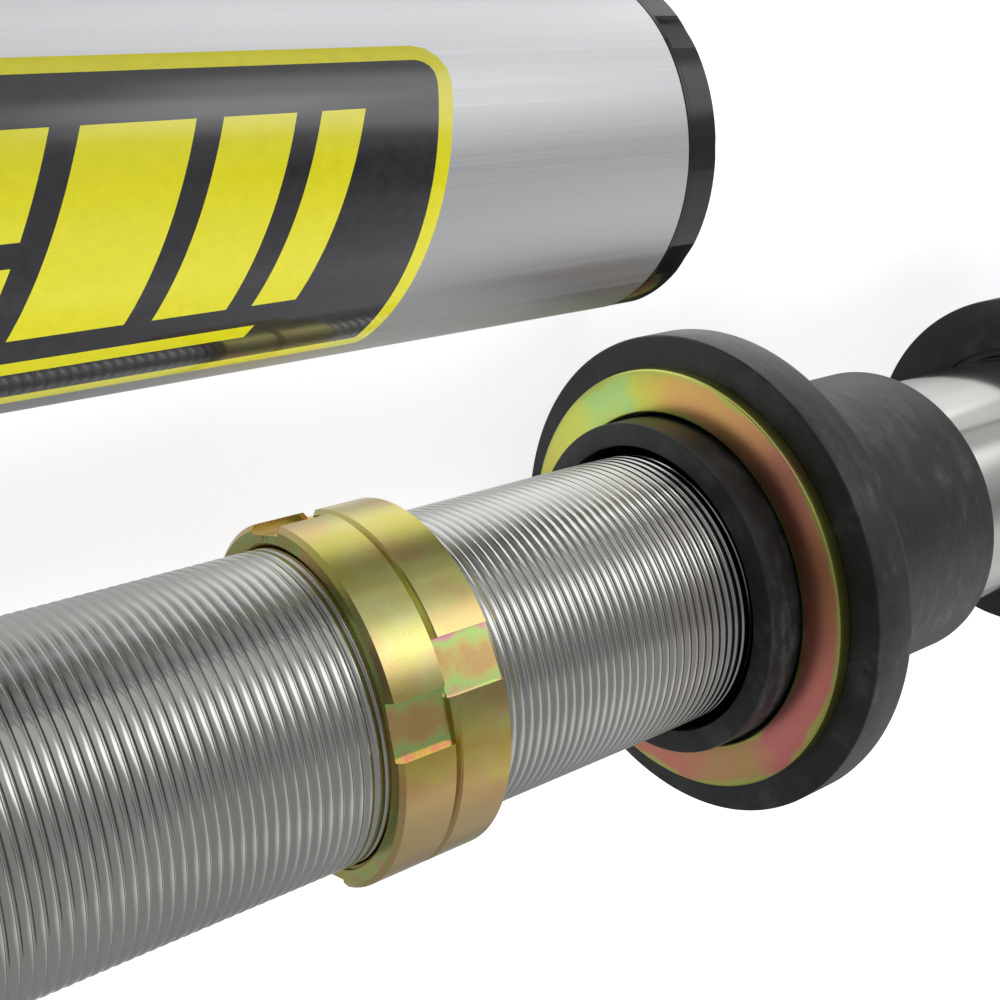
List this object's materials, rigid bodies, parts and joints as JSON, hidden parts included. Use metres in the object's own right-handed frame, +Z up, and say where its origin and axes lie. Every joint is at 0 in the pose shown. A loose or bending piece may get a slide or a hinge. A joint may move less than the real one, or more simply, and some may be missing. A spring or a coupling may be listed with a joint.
{
  "type": "coilover shock absorber",
  "caption": "Long-travel coilover damper body with threaded tube, stop rings, dual-rate slider, piggyback reservoir and spherical-bearing eyes, without its springs.",
  "frame": {"origin": "centre of the upper eye, on the bolt axis", "axes": "+X along the shock from the upper eye to the lower eye, +Y along the bolt axis of both eyes and roughly towards the reservoir, +Z up with the shock lying on its side on a floor"},
  "size_m": [1.187, 0.2249, 0.1376],
  "materials": {
    "body_steel": "bright plated steel with a turned thread",
    "black_anodised": "gloss black anodised, machined",
    "clear_anodised": "clear anodised, brushed along its length",
    "yellow_zinc": "yellow chromate over zinc, iridescent",
    "slider_plastic": "matte black machined plastic",
    "hard_chrome": "polished hard chrome",
    "bearing_steel": "ground bearing steel",
    "plain_steel": "zinc plated steel",
    "spring_steel": "dark spring steel",
    "black_rubber": "matte black rubber",
    "band_plastic": "filled bearing plastic",
    "bronze": "plain bronze and brass"
  },
  "bodies": {
    "root": {"body_tube": "body_steel", "top_cap": "black_anodised", "top_cap_seal": "black_rubber", "port_plug": "plain_steel", "reservoir_tube": "clear_anodised", "reservoir_head_seal": "black_rubber", "reservoir_end_cap": "black_anodised", "reservoir_cap_seal": "black_rubber", "gas_valve": "bronze", "gas_valve_core": "bronze", "gas_valve_cap": "black_anodised", "seal_head": "clear_anodised", "seal_head_seal": "black_rubber", "seal_head_ring": "spring_steel", "shaft_bushing": "bronze", "shaft_seal": "black_rubber", "shaft_wiper": "black_rubber", "upper_bearing_race": "bearing_steel", "upper_eye_clips": "spring_steel"},
    "preload_nut": {"preload_nut": "black_anodised", "preload_pinch_screw": "plain_steel"},
    "stop_rings": {"stop_ring_upper": "yellow_zinc", "stop_ring_lower": "yellow_zinc"},
    "slider": {"slider": "slider_plastic", "slider_washer": "yellow_zinc"},
    "lower_slider": {"lower_slider": "slider_plastic"},
    "shaft": {"shaft": "hard_chrome", "piston": "clear_anodised", "piston_wear_band": "band_plastic", "compression_shims": "spring_steel", "rebound_shims": "spring_steel", "shim_backing_washer": "plain_steel", "piston_nut": "clear_anodised", "topout_spacer": "band_plastic", "bump_stop": "black_rubber", "lower_eye": "clear_anodised", "lower_perch": "black_anodised", "perch_clip": "spring_steel", "lower_bearing_race": "bearing_steel", "lower_eye_clips": "spring_steel"},
    "floating_piston": {"floating_piston": "clear_anodised", "floating_piston_seal": "black_rubber", "floating_wear_band": "band_plastic"},
    "upper_ball": {"upper_bearing_ball": "bearing_steel"},
    "upper_spacers": {"upper_spacer_left": "plain_steel", "upper_spacer_right": "plain_steel"},
    "lower_ball": {"lower_bearing_ball": "bearing_steel"},
    "lower_spacers": {"lower_spacer_left": "plain_steel", "lower_spacer_right": "plain_steel"}
  },
  "joints": [
    {"name": "upper_bearing_tilt", "type": "hinge", "parent": "root", "child": "upper_ball", "pos_m": [0, 0, 0], "axis": [1, 0, 0], "range_deg": [-12, 12]},
    {"name": "upper_bearing_swing", "type": "hinge", "parent": "upper_ball", "child": "upper_spacers", "pos_m": [0, 0, 0], "axis": [0, 1, 0], "continuous": true},
    {"name": "preload_nut_slide", "type": "slide", "parent": "root", "child": "preload_nut", "axis": [1, 0, 0], "range_m": [-0.04, 0.06]},
    {"name": "stop_rings_slide", "type": "slide", "parent": "root", "child": "stop_rings", "axis": [1, 0, 0], "range_m": [-0.04, 0.012]},
    {"name": "slider_slide", "type": "slide", "parent": "root", "child": "slider", "axis": [1, 0, 0], "range_m": [-0.065, 0.05]},
    {"name": "lower_slider_slide", "type": "slide", "parent": "root", "child": "lower_slider", "axis": [1, 0, 0], "range_m": [-0.025, 0.035]},
    {"name": "shaft_slide", "type": "slide", "parent": "root", "child": "shaft", "axis": [1, 0, 0], "range_m": [-0.4064, 0], "stiffness_N_per_m": 740, "springref_m": 0.7},
    {"name": "floating_piston_slide", "type": "slide", "parent": "root", "child": "floating_piston", "axis": [1, 0, 0], "range_m": [0, 0.054]},
    {"name": "lower_bearing_tilt", "type": "hinge", "parent": "shaft", "child": "lower_ball", "pos_m": [1.127, 0, 0], "axis": [1, 0, 0], "range_deg": [-12, 12]},
    {"name": "lower_bearing_swing", "type": "hinge", "parent": "lower_ball", "child": "lower_spacers", "pos_m": [1.127, 0, 0], "axis": [0, 1, 0], "continuous": true}
  ],
  "couplings": [
    {"joint": "floating_piston_slide", "follows": "shaft_slide", "ratio": -0.13242}
  ]
}
